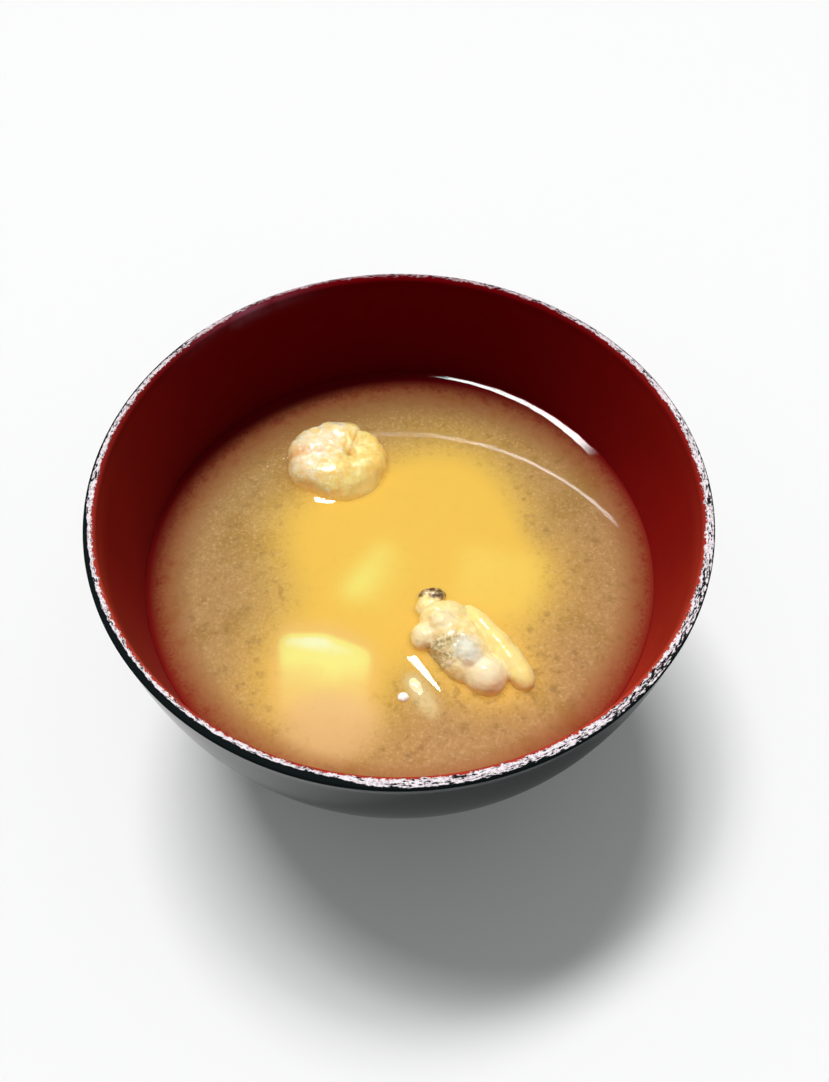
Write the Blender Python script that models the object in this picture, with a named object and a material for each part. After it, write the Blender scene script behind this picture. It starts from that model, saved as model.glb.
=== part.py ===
"""Miso soup in its lacquered bowl: bowl, soup, shrimp, clam, clam strip and tofu.

Metres, +Z up. The origin is the middle of the foot ring's underside.
"""

import math

import bmesh
import bpy
from mathutils import Matrix, Vector

MM = 0.001

# Bowl
RIM_RADIUS = 57.5 * MM
BOWL_HEIGHT = 68.0 * MM
WALL = 2.2 * MM
LIP_OUTER_ROUND = 0.8 * MM
LIP_INNER_ROUND = 0.9 * MM
BODY_DEPTH = 58.0 * MM
SHOULDER_RADIUS = 30.0 * MM
SIDE_LEAN = 0.064
FLOOR_HEIGHT = 9.0 * MM
FLOOR_CURVE = 3.67
FLOOR_START_DEPTH = 50.0 * MM
FOOT_TOP_RADIUS = 29.4 * MM
FOOT_BOTTOM_RADIUS = 28.4 * MM
FOOT_INNER_RADIUS = 25.2 * MM
FOOT_ROUND = 0.5 * MM
RECESS_HEIGHT = 5.5 * MM
TURNS = 60

# Soup
SOUP_LEVEL = 44.5 * MM
GAP = 0.3 * MM
CUT_GAP = 0.4 * MM

# Shrimp: a thick tail curled round a small hole
CURL_CENTRE = Vector((-11.0, 23.8, 44.8)) * MM
CURL_HOLE = 1.8 * MM
NOTCH_ANGLE = math.radians(72)
NOTCH_HALF = math.radians(4)
CAP_ANGLE = math.radians(17)
CAP_STATIONS = (0.06, 0.22, 0.5)
SHRIMP_WIDTH = 4.8 * MM
SHRIMP_WIDTH_SWING = 1.0 * MM
SHRIMP_HEIGHT = 4.0 * MM
SHRIMP_HEIGHT_SWING = 0.5 * MM
TAIL_THINNING = 0.08
SHRIMP_SEGMENTS = 6
SHRIMP_RINGS = 26
SHRIMP_SIDES = 12

# Clam and its strip, as lobes grown into one another
CLAM_VOXEL = 0.65 * MM

# Tofu: a block with its back right corner broken off, its back edge just out of the soup
TOFU_SIZE = Vector((18.6, 17.6, 11.0)) * MM
TOFU_BACK_CORNER = Vector((-23.7, -18.2, 45.15)) * MM
TOFU_YAW = math.radians(-1)
TOFU_FRONT_DIP = math.radians(12)
TOFU_SIDE_DIP = math.radians(1.6)
TOFU_BREAK = Vector((9.4, 7.6)) * MM
TOFU_EDGE = 1.1 * MM


def clear_scene():
    for item in list(bpy.data.objects):
        bpy.data.objects.remove(item, do_unlink=True)


def paint(item, name, colour, roughness, metallic=0.0):
    """Gives an object its own Principled material."""
    material = bpy.data.materials.new(name)
    material.use_nodes = True
    shader = material.node_tree.nodes["Principled BSDF"]
    shader.inputs["Base Color"].default_value = (*colour, 1.0)
    shader.inputs["Roughness"].default_value = roughness
    shader.inputs["Metallic"].default_value = metallic
    item.data.materials.clear()
    item.data.materials.append(material)


def object_from(bm, name, parent):
    """Turns a bmesh into a linked object with smooth round faces."""
    mesh = bpy.data.meshes.new(name)
    bm.to_mesh(mesh)
    bm.free()
    mesh.shade_smooth()
    mesh.set_sharp_from_angle(angle=math.radians(40))
    item = bpy.data.objects.new(name, mesh)
    bpy.context.scene.collection.objects.link(item)
    item.parent = parent
    return item


def as_cutter(item):
    item.hide_render = True
    item.display_type = "WIRE"
    return item


def turned(profile, steps=TURNS):
    """Spins a half section, given as (radius, height) points, about Z into a closed solid."""
    bm = bmesh.new()
    verts = [bm.verts.new((radius, 0.0, height)) for radius, height in profile]
    edges = [bm.edges.new(pair) for pair in zip(verts, verts[1:])]
    bmesh.ops.spin(
        bm,
        geom=verts + edges,
        cent=(0, 0, 0),
        axis=(0, 0, 1),
        angle=2 * math.pi,
        steps=steps,
    )
    bmesh.ops.remove_doubles(bm, verts=bm.verts, dist=1e-6)
    bmesh.ops.recalc_face_normals(bm, faces=bm.faces)
    return bm


def outer_radius(depth):
    """Radius of the bowl's outer side at a depth below the rim: a slight lean and a cubic belly."""
    drop = RIM_RADIUS - SHOULDER_RADIUS - SIDE_LEAN * BODY_DEPTH
    return RIM_RADIUS - SIDE_LEAN * depth - drop * (depth / BODY_DEPTH) ** 3


def outer_slope(depth):
    """How fast the outer radius shrinks with depth."""
    drop = RIM_RADIUS - SHOULDER_RADIUS - SIDE_LEAN * BODY_DEPTH
    return SIDE_LEAN + 3 * drop * depth**2 / BODY_DEPTH**3


def inner_point(depth, clearance=0.0):
    """The inner side's (radius, height) opposite an outer point, a wall's thickness in from it."""
    slope = outer_slope(depth)
    length = math.hypot(1.0, slope)
    inset = WALL + clearance
    radius = outer_radius(depth) - inset / length
    height = BOWL_HEIGHT - depth + inset * slope / length
    return radius, height


def floor_point(share, clearance=0.0):
    """A point of the bowl's inner floor, from its edge at share 1 to the middle at 0."""
    edge_radius, edge_height = inner_point(FLOOR_START_DEPTH, clearance)
    bottom = FLOOR_HEIGHT + clearance
    height = bottom + (edge_height - bottom) * share**FLOOR_CURVE
    return edge_radius * share, height


def spaced(first, last, count):
    return [first + (last - first) * i / (count - 1) for i in range(count)]


def corner(centre, radius, start, end, count):
    """Points of an arc in the (radius, height) plane, angles in degrees."""
    points = []
    for angle in spaced(math.radians(start), math.radians(end), count):
        points.append((centre[0] + radius * math.cos(angle), centre[1] + radius * math.sin(angle)))
    return points


def bowl_profile():
    """Half section: recess, foot ring, outer side, lip, inner side, floor."""
    points = [(0.0, RECESS_HEIGHT), (FOOT_INNER_RADIUS - 1.2 * MM, RECESS_HEIGHT)]
    points.append((FOOT_INNER_RADIUS - 0.3 * MM, RECESS_HEIGHT - 0.9 * MM))
    points.append((FOOT_INNER_RADIUS, FOOT_ROUND))
    points.append((FOOT_INNER_RADIUS + FOOT_ROUND, 0.0))
    points.append((FOOT_BOTTOM_RADIUS - FOOT_ROUND, 0.0))
    points.append((FOOT_BOTTOM_RADIUS, FOOT_ROUND))
    points.append((FOOT_TOP_RADIUS, BOWL_HEIGHT - BODY_DEPTH - 1.4 * MM))
    for depth in spaced(BODY_DEPTH - 0.4 * MM, 4.0 * MM, 9):
        points.append((outer_radius(depth), BOWL_HEIGHT - depth))
    lip_outer = (RIM_RADIUS - LIP_OUTER_ROUND, BOWL_HEIGHT - LIP_OUTER_ROUND)
    points += corner(lip_outer, LIP_OUTER_ROUND, 0, 90, 3)
    lip_inner = (RIM_RADIUS - WALL + LIP_INNER_ROUND, BOWL_HEIGHT - LIP_INNER_ROUND)
    points += corner(lip_inner, LIP_INNER_ROUND, 90, 180, 3)
    for depth in spaced(5.0 * MM, FLOOR_START_DEPTH, 8):
        points.append(inner_point(depth))
    for share in (0.86, 0.7, 0.5, 0.25, 0.0):
        points.append(floor_point(share))
    return points


def soup_profile():
    """Half section of the soup: its level top, then down the wall and along the floor."""
    depth = BOWL_HEIGHT - SOUP_LEVEL
    top_radius, height = inner_point(depth, GAP)
    for _ in range(4):
        depth += height - SOUP_LEVEL
        top_radius, height = inner_point(depth, GAP)
    points = [(0.0, SOUP_LEVEL), (top_radius, SOUP_LEVEL)]
    for lower in spaced(depth, FLOOR_START_DEPTH, 5)[1:]:
        points.append(inner_point(lower, GAP))
    for share in (0.86, 0.7, 0.5, 0.25, 0.0):
        points.append(floor_point(share, GAP))
    return points


def shrimp_stations():
    """Angles round the curl from head end to tail end, each with how full the section is there."""
    start = NOTCH_ANGLE + NOTCH_HALF
    end = NOTCH_ANGLE + 2 * math.pi - NOTCH_HALF
    caps = [(step * CAP_ANGLE, math.sqrt(1 - (1 - step) ** 2)) for step in CAP_STATIONS]
    body = [(angle, 1.0) for angle in spaced(start + CAP_ANGLE, end - CAP_ANGLE, SHRIMP_RINGS)]
    head = [(start, 0.0)] + [(start + turn, full) for turn, full in caps]
    tail = [(end - turn, full) for turn, full in reversed(caps)] + [(end, 0.0)]
    return head + body + tail


def shrimp_mesh(grow=0.0, closed=False):
    """The curled tail: oval sections carried round the hole, with a slight bulge per segment."""
    bm = bmesh.new()
    rings = []
    for angle, full in shrimp_stations():
        full = 1.0 if closed else full
        along = (angle - NOTCH_ANGLE) / (2 * math.pi)
        swing = -math.cos(angle)
        bulge = 1 + 0.045 * math.cos(SHRIMP_SEGMENTS * 2 * math.pi * along)
        bulge *= 1 - TAIL_THINNING * along**3
        wide = (SHRIMP_WIDTH + SHRIMP_WIDTH_SWING * swing) * bulge
        tall = (SHRIMP_HEIGHT + SHRIMP_HEIGHT_SWING * swing) * bulge
        spoke = Vector((math.cos(angle), math.sin(angle), 0.0))
        middle = CURL_CENTRE + spoke * (CURL_HOLE + wide)
        if full == 0.0:
            rings.append([bm.verts.new(middle)])
            continue
        ring = []
        for side in range(SHRIMP_SIDES):
            turn = 2 * math.pi * side / SHRIMP_SIDES
            offset = spoke * (wide * full + grow) * math.cos(turn)
            offset.z = (tall * full + grow) * math.sin(turn)
            ring.append(bm.verts.new(middle + offset))
        rings.append(ring)
    pairs = list(zip(rings, rings[1:]))
    if closed:
        pairs.append((rings[-1], rings[0]))
    for near, far in pairs:
        for side in range(SHRIMP_SIDES):
            after = (side + 1) % SHRIMP_SIDES
            if len(near) == 1:
                bm.faces.new((near[0], far[side], far[after]))
            elif len(far) == 1:
                bm.faces.new((near[side], near[after], far[0]))
            else:
                bm.faces.new((near[side], near[after], far[after], far[side]))
    bmesh.ops.recalc_face_normals(bm, faces=bm.faces)
    return bm


def lobe(bm, centre, radii, yaw=0.0, pitch=0.0, grow=0.0):
    """Adds one rounded lobe; sizes in millimetres, heights above the soup's level."""
    place = Matrix.Translation(Vector((centre[0], centre[1], centre[2])) * MM)
    place.translation.z += SOUP_LEVEL
    turn = Matrix.Rotation(math.radians(yaw), 4, "Z") @ Matrix.Rotation(math.radians(pitch), 4, "Y")
    size = Matrix.Diagonal((*((r * MM + grow) for r in radii), 1.0))
    bmesh.ops.create_icosphere(bm, subdivisions=3, radius=1.0, matrix=place @ turn @ size)


def clam_mesh(grow=0.0):
    """A shelled clam: belly, hood, blobs, gut, lower lobe, long foot, neck and siphon tip."""
    bm = bmesh.new()
    lobe(bm, (10.4, -21.3, 0.2), (9.2, 6.3, 4.7), yaw=-57, grow=grow)
    lobe(bm, (8.4, -15.4, 1.1), (4.9, 3.5, 3.0), yaw=12, grow=grow)
    lobe(bm, (4.7, -19.3, 0.9), (2.9, 3.0, 2.7), grow=grow)
    lobe(bm, (7.6, -17.6, 2.8), (2.7, 2.6, 2.3), grow=grow)
    lobe(bm, (12.2, -23.7, 2.9), (3.5, 2.9, 2.6), yaw=-57, grow=grow)
    lobe(bm, (15.4, -27.6, 0.8), (4.5, 4.0, 3.7), yaw=-40, grow=grow)
    lobe(bm, (19.2, -21.5, 0.5), (10.7, 3.2, 2.9), yaw=-53, grow=grow)
    lobe(bm, (5.7, -12.2, 0.5), (2.9, 2.1, 1.9), yaw=35, grow=grow)
    lobe(bm, (6.3, -10.1, 0.8), (3.0, 1.6, 1.5), grow=grow)
    return bm


def strip_mesh(grow=0.0):
    """A pale strip of the clam's mantle lying beside it, its upper end just out of the soup."""
    bm = bmesh.new()
    lobe(bm, (3.7, -31.3, -1.5), (4.9, 2.0, 1.6), yaw=-60, pitch=14, grow=grow)
    lobe(bm, (2.0, -28.9, -0.5), (2.0, 1.6, 1.3), yaw=-70, grow=grow)
    return bm


def grown_together(item, voxel, keep):
    """Merges an object's lobes into one skin and thins its faces."""
    remesh = item.modifiers.new("One skin", "REMESH")
    remesh.mode = "VOXEL"
    remesh.voxel_size = voxel
    smooth = item.modifiers.new("Ease", "SMOOTH")
    smooth.factor = 0.5
    smooth.iterations = 2
    thin = item.modifiers.new("Thin", "DECIMATE")
    thin.ratio = keep
    return item


def tofu_mesh(grow=0.0):
    """A tofu block, cut across one corner, tipped so that its front edge dips."""
    bm = bmesh.new()
    bmesh.ops.create_cube(bm, size=1.0)
    size = TOFU_SIZE + Vector((2 * grow, 2 * grow, 2 * grow))
    for vert in bm.verts:
        vert.co.x = vert.co.x * size.x + TOFU_SIZE.x / 2
        vert.co.y = vert.co.y * size.y - TOFU_SIZE.y / 2
        vert.co.z = vert.co.z * size.z - TOFU_SIZE.z / 2
    across = Vector((TOFU_BREAK.y, TOFU_BREAK.x, 0.0)).normalized()
    cut_point = Vector((TOFU_SIZE.x - TOFU_BREAK.x, 0.0, 0.0)) + across * grow
    bmesh.ops.bisect_plane(
        bm,
        geom=bm.verts[:] + bm.edges[:] + bm.faces[:],
        plane_co=cut_point,
        plane_no=across,
        clear_outer=True,
    )
    bmesh.ops.holes_fill(bm, edges=bm.edges)
    bmesh.ops.recalc_face_normals(bm, faces=bm.faces)
    bmesh.ops.bevel(
        bm,
        geom=bm.edges[:],
        offset=TOFU_EDGE,
        segments=2,
        profile=0.5,
        affect="EDGES",
    )
    turn = (
        Matrix.Rotation(TOFU_YAW, 4, "Z")
        @ Matrix.Rotation(TOFU_SIDE_DIP, 4, "Y")
        @ Matrix.Rotation(TOFU_FRONT_DIP, 4, "X")
    )
    bmesh.ops.transform(bm, matrix=Matrix.Translation(TOFU_BACK_CORNER) @ turn, verts=bm.verts)
    return bm


def cut(item, cutter):
    boolean = item.modifiers.new("Cut " + cutter.name, "BOOLEAN")
    boolean.operation = "DIFFERENCE"
    boolean.solver = "EXACT"
    boolean.object = cutter


def main():
    clear_scene()
    table = bpy.data.objects.new("serving", None)
    bpy.context.scene.collection.objects.link(table)

    bowl = object_from(turned(bowl_profile()), "bowl", table)
    paint(bowl, "lacquered_plastic", (0.13, 0.012, 0.008), 0.14)

    soup = object_from(turned(soup_profile()), "soup", table)
    paint(soup, "miso_broth", (0.48, 0.25, 0.08), 0.12)

    shrimp = object_from(shrimp_mesh(), "shrimp", table)
    paint(shrimp, "shrimp_flesh", (0.86, 0.62, 0.38), 0.3)

    clam = grown_together(object_from(clam_mesh(), "clam", table), CLAM_VOXEL, 0.26)
    paint(clam, "clam_flesh", (0.72, 0.58, 0.34), 0.28)

    strip = grown_together(object_from(strip_mesh(), "clam_strip", table), 0.45 * MM, 0.4)
    paint(strip, "clam_mantle", (0.8, 0.62, 0.32), 0.3)

    tofu = object_from(tofu_mesh(), "tofu", table)
    paint(tofu, "tofu_curd", (0.87, 0.76, 0.45), 0.4)

    grow = CUT_GAP
    shrimp_cut = as_cutter(object_from(shrimp_mesh(grow, closed=True), "shrimp_cut", table))
    clam_cut = as_cutter(object_from(clam_mesh(grow + 0.1 * MM), "clam_cut", table))
    strip_cut = as_cutter(object_from(strip_mesh(grow + 0.1 * MM), "strip_cut", table))
    tofu_cut = as_cutter(object_from(tofu_mesh(GAP), "tofu_cut", table))
    grown_together(clam_cut, 0.9 * MM, 0.35)
    grown_together(strip_cut, 0.7 * MM, 0.5)
    for cutter in (shrimp_cut, clam_cut, strip_cut, tofu_cut):
        cut(soup, cutter)


main()
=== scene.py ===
"""Miso soup in a worn lacquer bowl, with a curled shrimp, a shelled clam and tofu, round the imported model."""

import math

import bpy
import numpy as np
from mathutils import Matrix, Vector, noise
from mathutils.bvhtree import BVHTree


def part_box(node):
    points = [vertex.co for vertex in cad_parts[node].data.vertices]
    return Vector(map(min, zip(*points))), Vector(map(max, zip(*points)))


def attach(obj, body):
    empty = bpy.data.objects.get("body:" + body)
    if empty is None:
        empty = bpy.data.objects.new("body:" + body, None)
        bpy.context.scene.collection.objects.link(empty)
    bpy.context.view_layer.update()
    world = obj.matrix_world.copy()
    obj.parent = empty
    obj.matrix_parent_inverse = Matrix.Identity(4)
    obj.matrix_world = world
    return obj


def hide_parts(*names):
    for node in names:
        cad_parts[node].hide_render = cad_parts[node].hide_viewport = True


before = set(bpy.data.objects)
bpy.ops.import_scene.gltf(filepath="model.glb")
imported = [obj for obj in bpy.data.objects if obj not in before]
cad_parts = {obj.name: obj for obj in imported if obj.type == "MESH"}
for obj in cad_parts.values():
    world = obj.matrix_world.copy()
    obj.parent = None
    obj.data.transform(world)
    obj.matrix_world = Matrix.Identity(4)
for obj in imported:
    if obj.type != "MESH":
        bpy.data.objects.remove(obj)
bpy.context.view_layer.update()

MM = 0.001
BOWL_LOW, BOWL_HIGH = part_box("bowl")
RIM_RADIUS = BOWL_HIGH.x
RIM_HEIGHT = BOWL_HIGH.z
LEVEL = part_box("soup")[1].z

# Bowl
WALL = 2.2 * MM
LIP_OUTER_ROUND = 0.45 * MM
LIP_INNER_ROUND = 0.8 * MM
LIP_BROW = 3.0 * MM
LIP_TURN = 14.0
LIP_DEPTH = 1.28 * MM
BODY_DEPTH = 58.0 * MM
SHOULDER_RADIUS = 30.0 * MM
SIDE_LEAN = 0.064
BELLY_DROP = RIM_RADIUS - SHOULDER_RADIUS - SIDE_LEAN * BODY_DEPTH
FLOOR_HEIGHT = 9.0 * MM
FLOOR_CURVE = 3.67
FLOOR_START_DEPTH = 50.0 * MM
FOOT_TOP_RADIUS = 29.4 * MM
FOOT_BOTTOM_RADIUS = 28.4 * MM
FOOT_INNER_RADIUS = 25.2 * MM
RECESS_HEIGHT = 5.5 * MM
TURNS = 256

# Soup
WET_SLOPE = 0.27
CLIMB_MIDDLE = 2.5 * MM
CLIMB_REACH = 1.35 * MM
WALL_CLIMB = WET_SLOPE * math.sqrt(math.pi) * CLIMB_REACH
VEIL_DROP = 0.3 * MM
EDGE_DROP = 0.8 * MM
EDGE_REACH = 4.0 * MM
HEAP_X = 3.4 * MM
HEAP_Y = 1.0 * MM
HEAP_RADIUS = 18.6 * MM
# where the gleam lamp's mirror image falls on the broth; its reflection is masked off there
LAMP_MIRROR_X = -18.0 * MM
LAMP_MIRROR_Y = -47.0 * MM
LAMP_MIRROR_RADIUS = 22.0 * MM
RIPPLE_Y = -22.3 * MM
RIPPLE_RADIUS = 54.1 * MM
GRID_CELL = 0.5 * MM
GRID_HALF = 58.0 * MM


# ---------------------------------------------------------------- shader arithmetic


class Wire:
    """A shader socket that can be used in arithmetic."""

    def __init__(self, finish, socket):
        self.finish = finish
        self.socket = socket

    def __add__(self, other):
        return self.finish.math("ADD", self, other)

    __radd__ = __add__

    def __sub__(self, other):
        return self.finish.math("SUBTRACT", self, other)

    def __rsub__(self, other):
        return self.finish.math("SUBTRACT", other, self)

    def __mul__(self, other):
        return self.finish.math("MULTIPLY", self, other)

    __rmul__ = __mul__

    def __truediv__(self, other):
        return self.finish.math("DIVIDE", self, other)

    def __pow__(self, other):
        return self.finish.math("POWER", self, other)


class Finish:
    """One material being wired."""

    def __init__(self, name):
        self.material = bpy.data.materials.new(name)
        self.material.use_nodes = True
        self.tree = self.material.node_tree
        self.tree.nodes.clear()
        self.place = self.node("TexCoord", out="Object")

    def node(self, kind, settings=(), sockets=(), out=0):
        """Adds any node: its settings are set first, then its sockets' values or links."""
        made = self.tree.nodes.new("ShaderNode" + kind)
        for key, setting in dict(settings).items():
            if key == "stops":
                for spare in range(len(setting) - 2):
                    made.color_ramp.elements.new(0.5)
                for stop, (position, colour) in zip(made.color_ramp.elements, setting):
                    stop.position = position
                    stop.color = colour
            else:
                setattr(made, key, setting)
        for key, value in dict(sockets).items():
            if isinstance(value, Wire):
                self.tree.links.new(value.socket, made.inputs[key])
            else:
                made.inputs[key].default_value = value
        return Wire(self, made.outputs[out]) if len(made.outputs) else made

    def math(self, operation, first, second=0.0, clamp=False):
        settings = {"operation": operation, "use_clamp": clamp}
        return self.node("Math", settings, {0: first, 1: second})

    def step(self, value, low, high, bottom=0.0, top=1.0):
        """Rises smoothly from bottom to top as the value goes from low to high."""
        settings = {"interpolation_type": "SMOOTHSTEP", "clamp": True}
        sockets = {"Value": value, "From Min": low, "From Max": high, "To Min": bottom, "To Max": top}
        return self.node("MapRange", settings, sockets)

    def blend(self, factor, first, second, how="MIX"):
        """A mix of two colours."""
        settings = {"data_type": "RGBA", "blend_type": how, "clamp_factor": True}
        return self.node("Mix", settings, {0: factor, 6: first, 7: second}, out=2)

    def grain(self, size, detail=2.0, rough=0.5, bend=0.0, stretch=None, out=0):
        """Noise whose patches are about this many metres across."""
        where = self.place
        if stretch:
            where = self.node("Mapping", (), {"Vector": where, "Scale": stretch})
        sockets = {"Vector": where, "Scale": 1.0 / size, "Detail": detail, "Roughness": rough}
        sockets["Distortion"] = bend
        return self.node("TexNoise", {"noise_dimensions": "3D"}, sockets, out=out)

    def cells(self, size, feature="F1", randomness=1.0, out="Distance"):
        sockets = {"Vector": self.place, "Scale": 1.0 / size, "Randomness": randomness}
        return self.node("TexVoronoi", {"feature": feature}, sockets, out=out)

    def marked(self, name):
        """A number stored on the mesh's points."""
        return self.node("Attribute", {"attribute_name": name}, (), out="Fac")

    def axis(self, letter):
        return self.node("SeparateXYZ", (), {0: self.place}, out=letter.upper())

    def bump(self, height, distance, strength=1.0, normal=None):
        sockets = {"Height": height, "Distance": distance, "Strength": strength}
        if normal:
            sockets["Normal"] = normal
        return self.node("Bump", (), sockets)

    def done(self, shader):
        self.node("OutputMaterial", (), {"Surface": shader})
        return self.material


def tone(red, green, blue):
    """A linear colour from display values of 0 to 255."""
    linear = []
    for value in (red, green, blue):
        share = value / 255.0
        linear.append(share / 12.92 if share <= 0.04045 else ((share + 0.055) / 1.055) ** 2.4)
    return (*linear, 1.0)


# ---------------------------------------------------------------- modelling


def clear_selection():
    if bpy.context.object and bpy.context.object.mode != "OBJECT":
        bpy.ops.object.mode_set(mode="OBJECT")
    bpy.ops.object.select_all(action="DESELECT")


def edit(piece):
    clear_selection()
    piece.select_set(True)
    bpy.context.view_layer.objects.active = piece
    bpy.ops.object.mode_set(mode="EDIT")


def named(name):
    piece = bpy.context.object
    piece.name = name
    piece.data.name = name
    return piece


def strand(points, name):
    """A chain of edges in the XZ plane, extruded one point at a time."""
    clear_selection()
    bpy.ops.mesh.primitive_plane_add(size=MM, location=(0, 0, 0))
    piece = named(name)
    bpy.ops.object.mode_set(mode="EDIT")
    bpy.ops.mesh.select_all(action="SELECT")
    bpy.ops.mesh.merge(type="CENTER")
    bpy.ops.transform.translate(value=(points[0][0], 0, points[0][1]))
    for before, after in zip(points, points[1:]):
        move = (after[0] - before[0], 0, after[1] - before[1])
        bpy.ops.mesh.extrude_vertices_move(TRANSFORM_OT_translate={"value": move})
    return piece


def turned(points, name, steps=TURNS):
    """Spins a half section round Z into a closed, smooth body."""
    piece = strand(points, name)
    bpy.ops.mesh.select_all(action="SELECT")
    bpy.ops.mesh.spin(steps=steps, angle=2 * math.pi, center=(0, 0, 0), axis=(0, 0, 1))
    bpy.ops.mesh.select_all(action="SELECT")
    bpy.ops.mesh.remove_doubles(threshold=1e-6)
    bpy.ops.mesh.normals_make_consistent(inside=False)
    bpy.ops.object.mode_set(mode="OBJECT")
    bpy.ops.object.shade_smooth()
    return piece


def points_of(piece):
    flat = np.empty(len(piece.data.vertices) * 3)
    piece.data.vertices.foreach_get("co", flat)
    return flat.reshape(-1, 3)


def move_points(piece, places):
    piece.data.vertices.foreach_set("co", np.asarray(places, dtype=float).ravel())
    piece.data.update()


def normals_of(piece):
    flat = np.empty(len(piece.data.vertices) * 3)
    piece.data.vertices.foreach_get("normal", flat)
    return flat.reshape(-1, 3)


def mark(piece, name, values):
    """Stores one number per point for the material to read."""
    layer = piece.data.attributes.new(name, "FLOAT", "POINT")
    layer.data.foreach_set("value", np.asarray(values, dtype=np.float32))


def apply_modifiers(piece):
    clear_selection()
    piece.select_set(True)
    bpy.context.view_layer.objects.active = piece
    for modifier in list(piece.modifiers):
        bpy.ops.object.modifier_apply(modifier=modifier.name)


def finish_piece(piece, material, slot, *replaced):
    piece.data.materials.clear()
    piece.data.materials.append(material)
    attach(piece, "root")
    if replaced:
        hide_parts(*replaced)
    return piece


def spaced(first, last, count):
    return [first + (last - first) * i / (count - 1) for i in range(count)]


def corner(centre, radius, start, end, count):
    points = []
    for angle in spaced(math.radians(start), math.radians(end), count):
        points.append((centre[0] + radius * math.cos(angle), centre[1] + radius * math.sin(angle)))
    return points


def rumple(places, size, height, seed=0.0, octaves=3):
    """Smooth random heights, one per point."""
    shift = Vector((seed, seed * 1.7, seed * 0.6))
    values = []
    for place in places:
        values.append(noise.fractal(Vector(place) / size + shift, 0.6, 2.0, octaves))
    return np.array(values) * height


# ---------------------------------------------------------------- bowl


def outer_radius(depth):
    """Radius of the bowl's outer side at a depth below the rim."""
    return RIM_RADIUS - SIDE_LEAN * depth - BELLY_DROP * (depth / BODY_DEPTH) ** 3


def inner_point(depth, clearance=0.0):
    """The inner side's (radius, height), a wall's thickness in from the outer side."""
    slope = SIDE_LEAN + 3 * BELLY_DROP * depth**2 / BODY_DEPTH**3
    length = math.hypot(1.0, slope)
    inset = WALL + clearance
    return outer_radius(depth) - inset / length, RIM_HEIGHT - depth + inset * slope / length


def inner_radius(height, clearance=0.0):
    """Radius of the inner side at a height."""
    depth = RIM_HEIGHT - height
    for _ in range(6):
        radius, found = inner_point(depth, clearance)
        depth += found - height
    return radius


def floor_point(share, clearance=0.0):
    edge_radius, edge_height = inner_point(FLOOR_START_DEPTH, clearance)
    bottom = FLOOR_HEIGHT + clearance
    return edge_radius * share, bottom + (edge_height - bottom) * share**FLOOR_CURVE


def bowl_profile():
    """Half section from the recess out round the lip to the inner floor's middle."""
    points = [(0.0, RECESS_HEIGHT)]
    points += [(radius * MM, RECESS_HEIGHT) for radius in (8, 16, 22)]
    points += corner((FOOT_INNER_RADIUS - 1.0 * MM, RECESS_HEIGHT - 1.0 * MM), 1.0 * MM, 90, 0, 5)
    points += corner((FOOT_INNER_RADIUS + 0.5 * MM, 0.5 * MM), 0.5 * MM, 180, 270, 4)
    points += corner((FOOT_BOTTOM_RADIUS - 0.5 * MM, 0.5 * MM), 0.5 * MM, 270, 360, 4)
    foot_top = (FOOT_TOP_RADIUS, RIM_HEIGHT - BODY_DEPTH - 1.4 * MM)
    points += [(FOOT_BOTTOM_RADIUS + 0.5 * MM, 4.5 * MM), foot_top]
    points.append((FOOT_TOP_RADIUS + 0.35 * MM, RIM_HEIGHT - BODY_DEPTH - 0.6 * MM))
    for depth in spaced(BODY_DEPTH - 0.4 * MM, 6.0 * MM, 20):
        points.append((outer_radius(depth), RIM_HEIGHT - depth))
    for depth in (5, 4, 3, 2.2, 1.5, 1.1, 0.75):
        points.append((outer_radius(depth * MM), RIM_HEIGHT - depth * MM))
    lip_outer = (RIM_RADIUS - LIP_OUTER_ROUND, RIM_HEIGHT - LIP_OUTER_ROUND)
    points += corner(lip_outer, LIP_OUTER_ROUND, 0, 90, 8)
    wall_radius, wall_height = inner_point(LIP_DEPTH)
    lean = math.degrees(math.atan(SIDE_LEAN))
    brow = (
        wall_radius + LIP_BROW * math.cos(math.radians(lean)),
        wall_height - LIP_BROW * math.sin(math.radians(lean)),
    )
    high_point = corner(brow, LIP_BROW, 180 - LIP_TURN, 180 - lean, 9)
    lip_inner = (
        high_point[0][0] + LIP_INNER_ROUND * math.cos(math.radians(LIP_TURN)),
        high_point[0][1] - LIP_INNER_ROUND * math.sin(math.radians(LIP_TURN)),
    )
    points += corner(lip_inner, LIP_INNER_ROUND, 90, 180 - LIP_TURN, 7)[:-1]
    points += high_point
    for depth in (1.6, 2, 2.5, 3, 4):
        points.append(inner_point(depth * MM))
    for depth in spaced(5.5 * MM, FLOOR_START_DEPTH, 20):
        points.append(inner_point(depth))
    for share in (0.94, 0.86, 0.78, 0.7, 0.6, 0.5, 0.38, 0.25, 0.12, 0.0):
        points.append(floor_point(share))
    return points


def hump(angle, centre, width):
    """1 at an angle round the bowl, in degrees, falling away smoothly over a width."""
    apart = (angle - centre + 180.0) % 360.0 - 180.0
    return np.exp(-((apart / width) ** 2))


def span(angle, first, last, soft):
    """1 between two angles round the bowl, easing over some degrees at both ends."""
    middle = (first + last) / 2
    apart = np.abs((angle - middle + 180.0) % 360.0 - 180.0)
    return eased((last - first) / 2 + soft / 2 - apart, 0.0, soft)


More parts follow.
